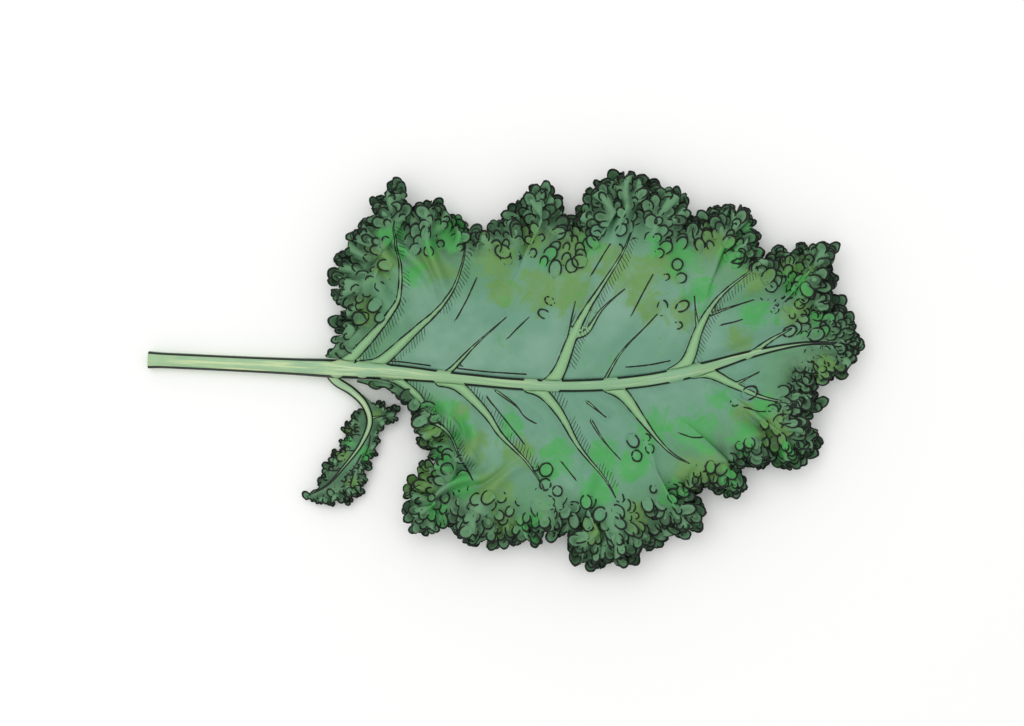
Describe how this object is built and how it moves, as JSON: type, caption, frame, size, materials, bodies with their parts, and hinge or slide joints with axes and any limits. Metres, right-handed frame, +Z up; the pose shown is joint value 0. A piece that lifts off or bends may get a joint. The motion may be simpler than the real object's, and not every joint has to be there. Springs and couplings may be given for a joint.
{
  "type": "curly kale leaf",
  "caption": "Picked curly kale leaf lying flat: grooved pale stalk and midrib, frilled lobed blade in two halves, and a small leaflet on its own curved stalk.",
  "frame": {"origin": "on the table, under the middle of the leaf's box", "axes": "+X from the cut end of the stalk to the tip of the leaf, +Y to the leaf's left, +Z up from the table"},
  "size_m": [0.3552, 0.1928, 0.0343],
  "materials": {
    "stalk_green": "pale waxy green, lightly ribbed",
    "blade_green": "blue-green, finely veined, darker towards the frilled edge"
  },
  "bodies": {
    "root": {"stalk_and_midrib": "stalk_green", "leaflet_stalk": "stalk_green", "blade_left_half": "blade_green", "blade_right_half": "blade_green", "leaflet_left_half": "blade_green", "leaflet_right_half": "blade_green"}
  },
  "joints": []
}
